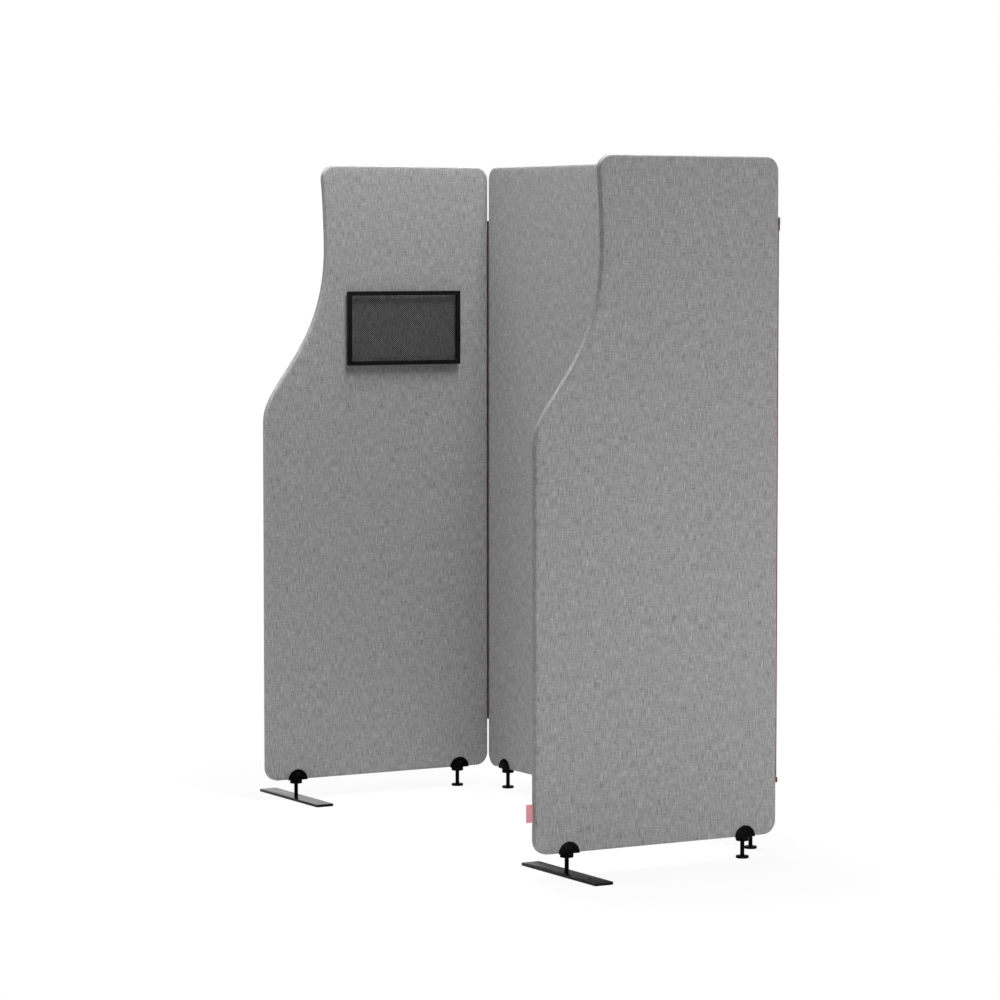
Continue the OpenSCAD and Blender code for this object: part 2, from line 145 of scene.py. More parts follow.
def join_in(bm, small):
    """Puts a piece that was shaped on its own into a larger one."""
    part = bpy.data.meshes.new("part")
    small.to_mesh(part)
    small.free()
    bm.from_mesh(part)
    bpy.data.meshes.remove(part)


def thicken(bm, faces, move):
    """Makes a solid of flat faces, from where they lie to where move takes them."""
    made = bmesh.ops.extrude_face_region(bm, geom=faces, use_keep_orig=True)
    bmesh.ops.translate(bm, vec=move, verts=of_kind(made["geom"], bmesh.types.BMVert))


def lathe(bm, outline, steps=48):
    """Turns an outline of (radius, height) points about the z axis."""
    ring = [bm.verts.new((radius, 0, height)) for radius, height in outline]
    line = [bm.edges.new(pair) for pair in zip(ring, ring[1:])]
    bmesh.ops.spin(bm, geom=ring + line, cent=(0, 0, 0), axis=(0, 0, 1), angle=TURN, steps=steps,
                   use_merge=True)
    bmesh.ops.remove_doubles(bm, verts=bm.verts, dist=0.001 * MM)


def finished(bm, name, place, body, material, stands_for=(), crease=35):
    """Moves a piece from its panel's frame into the screen's frame and makes it ride on its body."""
    bmesh.ops.recalc_face_normals(bm, faces=bm.faces)
    bmesh.ops.transform(bm, matrix=place, verts=bm.verts)
    if place.determinant() < 0:
        bmesh.ops.reverse_faces(bm, faces=bm.faces)
    mesh = bpy.data.meshes.new(name)
    bm.to_mesh(mesh)
    bm.free()
    mesh.shade_smooth()
    mesh.set_sharp_from_angle(angle=math.radians(crease))
    mesh.materials.append(material)
    piece = bpy.data.objects.new(name, mesh)
    bpy.context.scene.collection.objects.link(piece)
    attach(piece, body)
    if stands_for:
        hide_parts(*stands_for)
    return piece


class Graph:
    """Adds nodes to a node tree and links them as they are made."""

    def __init__(self, tree):
        self.tree = tree

    def add(self, kind, sockets=(), **settings):
        made = self.tree.nodes.new(kind if kind.startswith("NodeGroup") else "ShaderNode" + kind)
        for key, value in settings.items():
            setattr(made, key, value)
        for key, value in dict(sockets).items():
            if isinstance(value, bpy.types.NodeSocket):
                self.tree.links.new(value, made.inputs[key])
            else:
                made.inputs[key].default_value = value
        return made

    def maths(self, operation, *values):
        return self.add("Math", enumerate(values), operation=operation).outputs[0]

    def mix(self, share, first, second):
        return self.add("Mix", {0: share, 6: first, 7: second}, data_type="RGBA").outputs[2]

    def noise(self, across, along, detail=1.0):
        """A noise that runs along two coordinates, at one wave a unit."""
        at = self.add("CombineXYZ", {0: across, 1: along}).outputs[0]
        return self.add("TexNoise", {"Vector": at, "Scale": 1.0, "Detail": detail},
                        noise_dimensions="2D").outputs[0]

    def mapped(self, value, low, high, to_low=0.0, to_high=1.0):
        return self.add("MapRange", {0: value, 1: low, 2: high, 3: to_low, 4: to_high}).outputs[0]


def group(name, inputs, outputs):
    """An empty node group with sockets, given as {name: starting value} and {name: socket type}."""
    tree = bpy.data.node_groups.new(name, "ShaderNodeTree")
    for socket, value in inputs.items():
        kind = "NodeSocketColor" if hasattr(value, "__len__") else "NodeSocketFloat"
        tree.interface.new_socket(socket, in_out="INPUT", socket_type=kind).default_value = value
    for socket, kind in outputs.items():
        tree.interface.new_socket(socket, in_out="OUTPUT", socket_type=kind)
    graph = Graph(tree)
    return tree, graph, graph.add("NodeGroupInput").outputs


# Cloth: how far apart two threads' tones are drawn, what the slubs are made of, and how much shade and light
# are painted between and on the threads
THREADS_APART = 7.31
SLUB_THREADS = 1.6
SLUB_UPRIGHT, SLUB_LEVEL, SLUB_PATCH = 0.65, 0.27, 0.08
PAINTED_SHADE_BETWEEN_THREADS, PAINTED_LIGHT_ON_THREAD = 0.84, 1.06


def woven_cloth():
    """Plain weave of melange yarn: each thread keeps its own slow change of tone along its length, with
    painted shade between the threads and painted light on their tops.
    """
    tree, g, given = group(
        "woven_cloth",
        {"Light": (0.4, 0.4, 0.4, 1), "Dark": (0.2, 0.2, 0.2, 1), "Pitch": 0.0014, "Contrast": 1.5,
         "Slub": 0.5, "Slub length": 0.025},
        {"Color": "NodeSocketColor", "Height": "NodeSocketFloat"})
    spot = g.add("TexCoord").outputs
    place = g.add("SeparateXYZ", {0: spot["Object"]}).outputs
    facing = g.add("SeparateXYZ", {0: spot["Normal"]}).outputs
    # On a panel's top and bottom edge the cloth runs on over the panel's thickness
    on_wing_panel = g.maths("GREATER_THAN", g.maths("ABSOLUTE", place[0]), STEP - 0.7 * PANEL_T)
    thickwise = g.add("Mix", {0: on_wing_panel, 2: place[1], 3: place[0]}).outputs[0]
    level_face = g.maths("GREATER_THAN", g.maths("ABSOLUTE", facing[2]), 0.7)
    turned_over = g.maths("MULTIPLY", level_face, thickwise)
    across = g.maths("SUBTRACT", g.maths("ADD", place[0], place[1]), turned_over)
    along = g.maths("ADD", place[2], turned_over)
    pitch, length = given["Pitch"], given["Slub length"]
    u, v = g.maths("DIVIDE", across, pitch), g.maths("DIVIDE", along, pitch)
    warp, weft = g.maths("FLOOR", u), g.maths("FLOOR", v)
    warp_tone = g.noise(g.maths("MULTIPLY", warp, THREADS_APART), g.maths("DIVIDE", along, length))
    weft_tone = g.noise(g.maths("DIVIDE", across, length), g.maths("MULTIPLY", weft, THREADS_APART))
    over = g.maths("FLOORED_MODULO", g.maths("ADD", warp, weft), 2.0)
    thread = g.add("Mix", {0: over, 2: warp_tone, 3: weft_tone}).outputs[0]
    slub_width = g.maths("MULTIPLY", pitch, SLUB_THREADS)
    upright = g.noise(g.maths("DIVIDE", across, slub_width), g.maths("DIVIDE", along, length), 2.0)
    level = g.noise(g.maths("DIVIDE", across, length), g.maths("DIVIDE", along, slub_width), 2.0)
    patch = g.noise(g.maths("DIVIDE", across, length), g.maths("DIVIDE", along, length), 2.0)
    slub = g.maths("MULTIPLY_ADD", upright, SLUB_UPRIGHT, g.maths(
        "MULTIPLY_ADD", level, SLUB_LEVEL, g.maths("MULTIPLY", patch, SLUB_PATCH)))
    tone = g.add("Mix", {0: given["Slub"], 2: thread, 3: slub}).outputs[0]
    strong = g.maths("MULTIPLY_ADD", g.maths("SUBTRACT", tone, 0.5), given["Contrast"], 0.5)
    clear = g.mapped(strong, 0.0, 1.0)
    bumps = [g.maths("SINE", g.maths("MULTIPLY", g.maths("FRACT", x), math.pi)) for x in (u, v)]
    height = g.maths("MULTIPLY", *bumps)
    # Painted shade and light: the colour is darkened in the hollows between threads and lightened on their
    # tops, following the weave's height
    shade = g.mapped(height, 0.0, 1.0, PAINTED_SHADE_BETWEEN_THREADS, PAINTED_LIGHT_ON_THREAD)
    colour = g.mix(clear, given["Dark"], given["Light"])
    shaded = g.add("VectorMath", {0: colour, 3: shade}, operation="SCALE").outputs[0]
    g.add("NodeGroupOutput", {"Color": shaded, "Height": height})
    return tree


def grain():
    """Fine even grain, as on powder coat, moulded plastic and felt."""
    tree, g, given = group("grain", {"Size": 0.001, "Detail": 2.0}, {"Value": "NodeSocketFloat"})
    place = g.add("TexCoord").outputs["Object"]
    scale = g.maths("DIVIDE", 1.0, given["Size"])
    speckle = g.add("TexNoise", {"Vector": place, "Scale": scale, "Detail": given["Detail"]}).outputs[0]
    g.add("NodeGroupOutput", {"Value": speckle})
    return tree


def worn_edges():
    """A mask of the rubbed outer edges, broken up by a noise."""
    tree, g, given = group("worn_edges", {"From": 0.53, "To": 0.6, "Patch size": 0.02},
                           {"Mask": "NodeSocketFloat"})
    sharp = g.add("NewGeometry").outputs["Pointiness"]
    place = g.add("TexCoord").outputs["Object"]
    scale = g.maths("DIVIDE", 1.0, given["Patch size"])
    patch = g.add("TexNoise", {"Vector": place, "Scale": scale, "Detail": 4.0}).outputs[0]
    edge = g.mapped(sharp, given["From"], given["To"])
    g.add("NodeGroupOutput", {"Mask": g.maths("MULTIPLY", edge, g.mapped(patch, 0.45, 0.65))})
    return tree


WOVEN, GRAIN, WORN = woven_cloth(), grain(), worn_edges()


def material(name, **shader_values):
    """A material with one Principled shader: (material, graph, shader)."""
    made = bpy.data.materials.new(name)
    made.use_nodes = True
    g = Graph(made.node_tree)
    made.node_tree.nodes.clear()
    shader = g.add("BsdfPrincipled", {k.replace("_", " "): v for k, v in shader_values.items()})
    g.add("OutputMaterial", {"Surface": shader.outputs[0]})
    return made, g, shader


def bumped(g, shader, height, distance, strength=1.0):
    bump = g.add("Bump", {"Height": height, "Distance": distance, "Strength": strength})
    g.tree.links.new(bump.outputs[0], shader.inputs["Normal"])


def cloth(name, light, dark, pitch, contrast, slub, slub_length, bump):
    made, g, shader = material(name, Roughness=0.92, Sheen_Weight=0.1, Sheen_Roughness=0.6,
                               Specular_IOR_Level=0.2)
    weave = g.add("Group", node_tree=WOVEN)
    for socket, value in (("Light", light), ("Dark", dark), ("Pitch", pitch), ("Contrast", contrast),
                          ("Slub", slub), ("Slub length", slub_length)):
        weave.inputs[socket].default_value = value
    g.tree.links.new(weave.outputs["Color"], shader.inputs["Base Color"])
    bumped(g, shader, weave.outputs["Height"], bump, 0.6)
    return made


def grey(value):
    return (value, value, value, 1)


def coated(name, tone, roughness, grain_size, grain_depth, bare, ior):
    """Powder coat, lacquer or moulded plastic, with a fine grain and lightly rubbed edges."""
    made, g, shader = material(name, IOR=ior)
    worn = g.add("Group", node_tree=WORN).outputs["Mask"]
    speckle = g.add("Group", {"Size": grain_size}, node_tree=GRAIN)
    cloud = g.add("Group", {"Size": 0.03}, node_tree=GRAIN)
    tint = g.mix(g.mapped(cloud.outputs[0], 0.3, 0.7), tone, tuple(1.35 * c for c in tone[:3]) + (1,))
    rubbed = g.mix(g.maths("MULTIPLY", worn, 0.35), tint, grey(bare))
    g.tree.links.new(rubbed, shader.inputs["Base Color"])
    rough = g.mapped(cloud.outputs[0], 0.3, 0.7, roughness * 0.85, roughness * 1.2)
    g.tree.links.new(rough, shader.inputs["Roughness"])
    bumped(g, shader, speckle.outputs[0], grain_depth)
    return made


def timber():
    """Plain softwood: growth rings drawn out along the rails, with fine pores."""
    made, g, shader = material("planed_softwood", Roughness=0.6)
    place = g.add("TexCoord").outputs["Object"]
    drawn = g.add("Mapping", {"Vector": place, "Scale": (30, 30, 2.5)}).outputs[0]
    rings = g.add("TexNoise", {"Vector": drawn, "Scale": 1.0, "Detail": 3.0, "Distortion": 1.5}).outputs[0]
    bands = g.maths("FRACT", g.maths("MULTIPLY", rings, 9.0))
    pores = g.add("Group", {"Size": 0.0006}, node_tree=GRAIN).outputs[0]
    colour = g.mix(bands, (0.62, 0.40, 0.21, 1), (0.42, 0.24, 0.11, 1))
    g.tree.links.new(g.mix(g.mapped(pores, 0.6, 0.8, 0.0, 0.4), colour, (0.3, 0.17, 0.08, 1)),
                     shader.inputs["Base Color"])
    bumped(g, shader, pores, 0.1 * MM)
    return made


def fibrous(name, light, dark, size):
    """Felt or wadding: loose fibres with soft tufts."""
    made, g, shader = material(name, Roughness=0.97, Specular_IOR_Level=0.1)
    fibre = g.add("Group", {"Size": size, "Detail": 6.0}, node_tree=GRAIN).outputs[0]
    g.tree.links.new(g.mix(g.mapped(fibre, 0.3, 0.7), dark, light), shader.inputs["Base Color"])
    bumped(g, shader, fibre, size)
    return made


COVER = cloth("grey_melange", grey(0.46), grey(0.15), 1.4 * MM, 2.6, 0.66, 28 * MM, 0.35 * MM)
TAPE = cloth("dark_red_tape", (0.33, 0.042, 0.066, 1), (0.2, 0.024, 0.04, 1), 0.9 * MM, 1.2, 0.2, 6 * MM,
             0.2 * MM)
LABEL = cloth("pink_tab", (0.78, 0.36, 0.39, 1), (0.62, 0.27, 0.3, 1), 0.5 * MM, 1.0, 0.2, 5 * MM, 0.12 * MM)
CLAMP_COAT = coated("clamp_powder_coat", grey(0.002), 0.36, 0.9 * MM, 0.02 * MM, bare=0.02, ior=1.08)
BAR_COAT = coated("bar_powder_coat", grey(0.003), 0.16, 1.2 * MM, 0.01 * MM, bare=0.03, ior=1.18)
RIM_COAT = coated("rim_powder_coat", grey(0.0055), 0.4, 0.8 * MM, 0.02 * MM, bare=0.03, ior=1.15)
NET_COAT = coated("mesh_powder_coat", grey(0.018), 0.45, 0.8 * MM, 0.015 * MM, bare=0.03, ior=1.15)
BLACK_OXIDE = coated("black_oxide", grey(0.003), 0.32, 0.5 * MM, 0.008 * MM, bare=0.03, ior=1.14)
TEETH = coated("teeth_plastic", (0.15, 0.026, 0.038, 1), 0.45, 0.5 * MM, 0.01 * MM, bare=0.1, ior=1.2)
SLIDER = coated("slider_lacquer", grey(0.02), 0.3, 0.6 * MM, 0.01 * MM, bare=0.35, ior=1.5)
PEG = coated("peg_plastic", grey(0.01), 0.45, 0.6 * MM, 0.02 * MM, bare=0.03, ior=1.45)
TIMBER = timber()
FELT = fibrous("core_felt", (0.42, 0.40, 0.36, 1), (0.25, 0.24, 0.21, 1), 1.6 * MM)
WADDING = fibrous("padding_wadding", grey(0.82), grey(0.62), 2.5 * MM)


def panel_outline(bm, wing):
    """A panel's outline as one face in the xz plane, from its zipped end at x = 0."""
    right_angle = [(0, 0), (PANEL_W, 0), (0, PANEL_H)]
    if wing:
        shoulder = Vector((PANEL_W, PANEL_H - SHOULDER_DROP))
        waist = Vector((PANEL_W - WAIST_CUT, PANEL_H - WAIST_DROP))
        lean = Vector((math.sin(TOP_LEAN), math.cos(TOP_LEAN)))
        neck = Vector((PANEL_W - TOP_CUT, PANEL_H - CORNER_R * (1 + lean.x)))
        up = Vector((0, 1))
        edge = interpolate_bezier(shoulder, shoulder + up * SHOULDER_REACH,
                                  waist - up * WAIST_REACH, waist, 33)
        edge += interpolate_bezier(waist, waist + up * NECK_REACH, neck - lean * NECK_REACH, neck, 9)[1:-1]
        top = neck + lean * ((PANEL_H - neck.y) / lean.y)
        edge.append(top)
        top_reach = CORNER_R / math.tan((math.pi / 2 - TOP_LEAN) / 2)
    else:
        edge = [Vector((PANEL_W, PANEL_H))]
        top_reach = CORNER_R
    points = right_angle[:2] + [tuple(p) for p in edge] + right_angle[2:]
    verts = [bm.verts.new((x, 0, CLEARANCE + z)) for x, z in points]
    bm.faces.new(verts)
    for corner, reach in ((verts[0], CORNER_R), (verts[1], CORNER_R), (verts[-2], top_reach),
                          (verts[-1], CORNER_R)):
        bmesh.ops.bevel(bm, geom=[corner], offset=reach, offset_type="OFFSET", segments=10, profile=0.5,
                        affect="VERTICES", material=-1, clamp_overlap=False)
    return bm.faces[:]


def upholstery(name, place, body, wing):
    """A panel's cover over its padding: rounded edges, a sewn seam mid-edge and a slight crown."""
    bm = bmesh.new()
    rise = sum(step for _, step in CROWN)
    half = PANEL_T / 2 - rise
    faces = panel_outline(bm, wing)
    bmesh.ops.translate(bm, vec=(0, -half, 0), verts=bm.verts)
    thicken(bm, faces, (0, 2 * half, 0))
    across = [e for e in bm.edges if abs(e.verts[0].co.y - e.verts[1].co.y) > half]
    bmesh.ops.subdivide_edges(bm, edges=across, cuts=3, use_grid_fill=True)
    bmesh.ops.recalc_face_normals(bm, faces=bm.faces)
    bm.normal_update()
    middle = [v for v in bm.verts if abs(v.co.y) < half / 4]
    sides = [v for v in bm.verts if half / 4 < abs(v.co.y) < 3 * half / 4]
    outwards = {v: v.normal.copy() for v in middle + sides}
    for v in middle:
        v.co -= outwards[v] * SEAM_DEPTH
    for v in sides:
        v.co -= outwards[v] * SEAM_SLOPE
        v.co.y = math.copysign(SEAM_HALF, v.co.y)
    bm.normal_update()
    caps = [f for f in bm.faces if abs(f.normal.y) > 0.9 and len(f.verts) > 8]
    rims = {e for f in caps for e in f.edges}
    bmesh.ops.bevel(bm, geom=list(rims), offset=EDGE_R, offset_type="OFFSET", segments=4, profile=0.5,
                    affect="EDGES", material=-1, clamp_overlap=False)
    bm.normal_update()
    for cap in [f for f in bm.faces if len(f.verts) > 8]:
        for width, step in CROWN:
            bmesh.ops.inset_region(bm, faces=[cap], thickness=width, depth=step, use_even_offset=True,
                                   use_boundary=True)
    for count, axis in ((int(PANEL_W / FACE_STEP), 0), (int(PANEL_H / FACE_STEP), 2)):
        low, size = (0, PANEL_W) if axis == 0 else (CLEARANCE, PANEL_H)
        for i in range(1, count):
            at, way = Vector(), Vector()
            at[axis], way[axis] = low + size * i / count, 1
            bmesh.ops.bisect_plane(bm, geom=everything(bm), dist=0.01 * MM, plane_co=at, plane_no=way)
    seed = Vector((len(name), 0, 0))
    for v in bm.verts:
        if abs(v.co.y) > half:
            v.co.y += math.copysign(WAVE, v.co.y) * noise.noise(v.co * WAVES_PER_M + seed)
    piece = finished(bm, name, place, body, COVER, [body + "_cover"], crease=50)


for side, half_name in ((-1, "left"), (1, "right")):
    upholstery(f"{half_name}_wing_upholstery", on_wing(side), f"{half_name}_wing", True)
    upholstery(f"{half_name}_back_upholstery", on_back(side), f"{half_name}_back", False)

# Clamps: a turned flange and stem with a bore, and two half-round cheeks
STEM_R = 6 * MM
BORE_R = 4.05 * MM
ROOF_T = 3 * MM
FLANGE_H = 13 * MM
FLANGE_EDGE = 1.2 * MM
CHEEK_T = 2.5 * MM
CHEEK_GAP = 0.1 * MM
CHEEK_DROP = 1.5 * MM
CHEEK_EDGE = 0.5 * MM
STEM_EDGE = 0.4 * MM


def clamp(name, place, body, x, low):
    flange_low, flange_high = CLEARANCE - FLANGE_H, CLEARANCE - CHEEK_GAP
    fillet = 2 * MM
    bm = bmesh.new()
    lathe(bm, [(0, CLEARANCE - ROOF_T), (BORE_R, CLEARANCE - ROOF_T), (BORE_R, low),
               (STEM_R - STEM_EDGE, low), (STEM_R, low + STEM_EDGE), (STEM_R, flange_low - fillet),
               (STEM_R + 0.3 * fillet, flange_low - 0.3 * fillet), (STEM_R + fillet, flange_low),
               (FLANGE_R - FLANGE_EDGE, flange_low),
               (FLANGE_R - 0.3 * FLANGE_EDGE, flange_low + 0.3 * FLANGE_EDGE),
               (FLANGE_R, flange_low + FLANGE_EDGE), (FLANGE_R, flange_high - FLANGE_EDGE),
               (FLANGE_R - 0.3 * FLANGE_EDGE, flange_high - 0.3 * FLANGE_EDGE),
               (FLANGE_R - FLANGE_EDGE, flange_high), (0, flange_high)])
    for side in (-1, 1):
        cheek = bmesh.new()
        bmesh.ops.create_circle(cheek, cap_ends=True, segments=72, radius=CHEEK_R,
                                matrix=Matrix.Rotation(math.pi / 2, 4, "X"))
        bmesh.ops.bisect_plane(cheek, geom=everything(cheek), plane_co=(0, 0, 0), plane_no=(0, 0, 1),
                               clear_inner=True)
        thicken(cheek, cheek.faces[:], (0, CHEEK_T, 0))
        bmesh.ops.translate(cheek, verts=cheek.verts, vec=(
            0, side * (PANEL_T / 2 + CHEEK_GAP + CHEEK_T / 2) - CHEEK_T / 2, CLEARANCE - CHEEK_DROP))
        bmesh.ops.recalc_face_normals(cheek, faces=cheek.faces)
        soften(cheek, CHEEK_EDGE)
        join_in(bm, cheek)
    finished(bm, name + "_coated", place @ Matrix.Translation((x, 0, 0)), body, CLAMP_COAT, [name])


# Round feet: a pad with a threaded rod
PAD_T = 7 * MM
PAD_EDGE = 1 * MM
THREAD_R = 3.95 * MM
THREAD_ROOT = 3.3 * MM
THREAD_PITCH = 1.25 * MM


def round_foot(name, place, x):
    bm = bmesh.new()
    lathe(bm, [(0, 0), (PAD_R - PAD_EDGE, 0), (PAD_R - 0.3 * PAD_EDGE, 0.3 * PAD_EDGE), (PAD_R, PAD_EDGE),
               (PAD_R, PAD_T - PAD_EDGE), (PAD_R - 0.3 * PAD_EDGE, PAD_T - 0.3 * PAD_EDGE),
               (PAD_R - PAD_EDGE, PAD_T), (THREAD_ROOT, PAD_T), (THREAD_ROOT, ROD_TOP), (0, ROD_TOP)])
    steps = 20
    turns = int((ROD_TOP - PAD_T) / THREAD_PITCH)
    ridge = [bm.verts.new(p) for p in ((THREAD_ROOT, 0, PAD_T), (THREAD_R, 0, PAD_T + THREAD_PITCH * 0.4),
                                       (THREAD_R, 0, PAD_T + THREAD_PITCH * 0.5),
                                       (THREAD_ROOT, 0, PAD_T + THREAD_PITCH * 0.9))]
    line = [bm.edges.new(pair) for pair in zip(ridge, ridge[1:])]
    bmesh.ops.spin(bm, geom=ridge + line, cent=(0, 0, 0), axis=(0, 0, 1),
                   dvec=(0, 0, THREAD_PITCH / steps), angle=TURN * (turns - 1), steps=steps * (turns - 1))
    finished(bm, name + "_coated", place @ Matrix.Translation((x, 0, 0)), name, CLAMP_COAT, [name])


# Bar feet: flat bars with a bore for the bolt and a recess for its head underneath
RECESS_R = 7.4 * MM
RECESS_H = 4.45 * MM
BAR_CORNER = 3 * MM
BAR_EDGE = 0.7 * MM


def bar_foot(name, place):
    bm = bmesh.new()
    rings = {}
    for z, hole_r in ((0, RECESS_R), (BAR_T, BORE_R)):
        hole = bmesh.ops.create_circle(bm, segments=48, radius=hole_r,
                                       matrix=Matrix.Translation((0, 0, z)))["verts"]
        corners = [bm.verts.new((sx * BAR_W / 2, sy * BAR_L / 2, z))
                   for sx, sy in ((-1, -1), (1, -1), (1, 1), (-1, 1))]
        rim = [bm.edges.new((corners[i - 1], corners[i])) for i in range(4)]
        hole_edges = list({e for v in hole for e in v.link_edges})
        rings[z] = (rim, hole_edges)
        bmesh.ops.triangle_fill(bm, edges=rim + hole_edges, use_beauty=True)
    bmesh.ops.bridge_loops(bm, edges=rings[0][0] + rings[BAR_T][0])
    wall = bmesh.ops.extrude_edge_only(bm, edges=rings[0][1])["geom"]
    bmesh.ops.translate(bm, vec=(0, 0, RECESS_H), verts=of_kind(wall, bmesh.types.BMVert))
    step = bmesh.ops.extrude_edge_only(bm, edges=of_kind(wall, bmesh.types.BMEdge))["geom"]
    bmesh.ops.scale(bm, vec=(BORE_R / RECESS_R,) * 2 + (1,), verts=of_kind(step, bmesh.types.BMVert))
    bmesh.ops.bridge_loops(bm, edges=of_kind(step, bmesh.types.BMEdge) + rings[BAR_T][1])
    bmesh.ops.recalc_face_normals(bm, faces=bm.faces)
    upright = [e for e in bm.edges if abs(e.verts[0].co.z - e.verts[1].co.z) > BAR_T * 0.9
               and abs(e.verts[0].co.y) > BAR_L / 3]
    bmesh.ops.bevel(bm, geom=upright, offset=BAR_CORNER, offset_type="OFFSET", segments=6, profile=0.5,
                    affect="EDGES", material=-1, clamp_overlap=False)
    outer = [e for e in bm.edges if len(e.link_faces) == 2 and e.calc_face_angle() > 1
             and min(abs(v.co.x) for v in e.verts) > BAR_W / 2 - 2 * BAR_CORNER]
    bmesh.ops.bevel(bm, geom=outer, offset=BAR_EDGE, offset_type="OFFSET", segments=3, profile=0.5,
                    affect="EDGES", material=-1, clamp_overlap=True)
    place = place @ Matrix.Translation((FAR_FOOT, 0, 0))
    finished(bm, name + "_coated", place, name, BAR_COAT, [name])


# Clamp screws: domed heads with hexagon sockets, and the shanks inside the panel
SCREW_Z = 14 * MM
SCREW_R = 2 * MM
SCREW_L = 13 * MM
HEAD_R = 4 * MM
HEAD_H = 1.9 * MM
SOCKET_R = 1.45 * MM
SOCKET_H = 1.3 * MM


def clamp_screws(name, place, body):
    bm = bmesh.new()
    for x in (NEAR_FOOT, FAR_FOOT):
        for side in (-1, 1):
            screw = bmesh.new()
            dome = [(HEAD_R * math.cos(a), HEAD_H * math.sin(a)) for a in
                    [math.radians(b) for b in (0, 20, 40, 58)]]
            lathe(screw, [(0, -SCREW_L), (SCREW_R * 0.6, -SCREW_L), (SCREW_R, -SCREW_L + 1 * MM),
                          (SCREW_R, 0), (HEAD_R, 0)] + dome[1:] + [(SOCKET_R * 1.2, dome[-1][1])], steps=24)
            mouth = [e for e in screw.edges if e.is_boundary]
            rim = sorted({v for e in mouth for v in e.verts}, key=lambda v: math.atan2(v.co.y, v.co.x))
            for v in rim:
                angle = math.atan2(v.co.y, v.co.x)
                flat = SOCKET_R / math.cos((angle + math.pi / 6) % (math.pi / 3) - math.pi / 6)
                v.co.x, v.co.y = flat * math.cos(angle), flat * math.sin(angle)
            wall = bmesh.ops.extrude_edge_only(screw, edges=mouth)["geom"]
            bmesh.ops.translate(screw, vec=(0, 0, -SOCKET_H), verts=of_kind(wall, bmesh.types.BMVert))
            bmesh.ops.holes_fill(screw, edges=of_kind(wall, bmesh.types.BMEdge))
            seat = Vector((x, side * (PANEL_T / 2 + CHEEK_GAP + CHEEK_T), CLEARANCE + SCREW_Z))
            bmesh.ops.recalc_face_normals(screw, faces=screw.faces)
            bmesh.ops.transform(screw, verts=screw.verts, matrix=(
                Matrix.Translation(seat) @ Matrix.Rotation(-side * math.pi / 2, 4, "X")))
            join_in(bm, screw)
    finished(bm, name + "_oxide", place, body, BLACK_OXIDE, [name])


for side, half_name in ((-1, "left"), (1, "right")):
    wing, back = f"{half_name}_wing", f"{half_name}_back"
    stem_low, bar_stem_low = CLAMP_LOW.z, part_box(f"{wing}_front_clamp")[0].z
    clamp(f"{wing}_rear_clamp", on_wing(side), wing, NEAR_FOOT, stem_low)
    clamp(f"{wing}_front_clamp", on_wing(side), wing, FAR_FOOT, bar_stem_low)
    clamp(f"{back}_outer_clamp", on_back(side), back, NEAR_FOOT, stem_low)
    clamp(f"{back}_inner_clamp", on_back(side), back, FAR_FOOT, stem_low)
    round_foot(f"{wing}_rear_foot", on_wing(side), NEAR_FOOT)
    round_foot(f"{back}_outer_foot", on_back(side), NEAR_FOOT)
    round_foot(f"{back}_inner_foot", on_back(side), FAR_FOOT)
    bar_foot(f"{wing}_bar_foot", on_wing(side))
    clamp_screws(f"{wing}_clamp_screws", on_wing(side), wing)
    clamp_screws(f"{back}_clamp_screws", on_back(side), back)

# Zips: woven tapes, two rows of teeth that mesh on the hinge axis, box, stop, slider and pull
TAPE_T = 0.8 * MM
TAPE_EDGE = 0.9 * MM
TAPE_CLEAR = 4.8 * MM
TOOTH_PITCH = 3.2 * MM
TOOTH_T = 1.55 * MM
SHELL_IN = 3.05 * MM
SHELL_OUT = 4.4 * MM
BOX_H = 14 * MM
LUG_R = 1.6 * MM
STOP_H = 4 * MM
PASS = 0.4 * MM
PLATE_X = (3.1 * MM, 8.1 * MM)
PLATE_Y = (1.25 * MM, 3.5 * MM)
LUG_X = (1.9 * MM, 7.3 * MM)
LUG_T = 0.8 * MM
LUG_START = 3.3 * MM
PIN_R = 0.9 * MM
PIN_L = 6.6 * MM
EYE_R = 1.6 * MM
EYE_BORE = 0.95 * MM
EYE_HALF = 1.9 * MM
PULL_T = 1.4 * MM
PULL_HOLE_R = 1.5 * MM
PULL_HOLE_Z = -22.5 * MM
CAST_EDGE = 0.3 * MM


def zip_tape(name, place, body, reach, notches):
    """A strip of tape from the teeth into the panel's seam, cut back where notches say."""
    bm = bmesh.new()
    inner, outer = TAPE_EDGE, reach + SEAM_DEPTH * 0.8
    shape = Matrix.Translation(((inner + outer) / 2, 0, (ZIP_LOW + ZIP_HIGH) / 2)) @ Matrix.Rotation(
        math.pi / 2, 4, "X") @ Matrix.Diagonal((outer - inner, ZIP_HIGH - ZIP_LOW, 1, 1))
    bmesh.ops.create_grid(bm, x_segments=5, y_segments=150, size=0.5, matrix=shape)
    for low, high in notches:
        cuts = ((0, 0, low), (0, 0, 1)), ((0, 0, high), (0, 0, 1)), ((TAPE_CLEAR, 0, 0), (1, 0, 0))
        for at, way in cuts:
            bmesh.ops.bisect_plane(bm, geom=everything(bm), dist=0.001 * MM, plane_co=at, plane_no=way)
        centres = {f: f.calc_center_median() for f in bm.faces}
        gone = [f for f, c in centres.items() if low < c.z < high and c.x < TAPE_CLEAR]
        bmesh.ops.delete(bm, geom=gone, context="FACES")
    bmesh.ops.recalc_face_normals(bm, faces=bm.faces)
    bmesh.ops.solidify(bm, geom=bm.faces[:], thickness=TAPE_T)
    bmesh.ops.translate(bm, vec=(0, -sum(v.co.y for v in bm.verts) / len(bm.verts), 0), verts=bm.verts)
    finished(bm, name + "_woven", place, body, TAPE, [name])


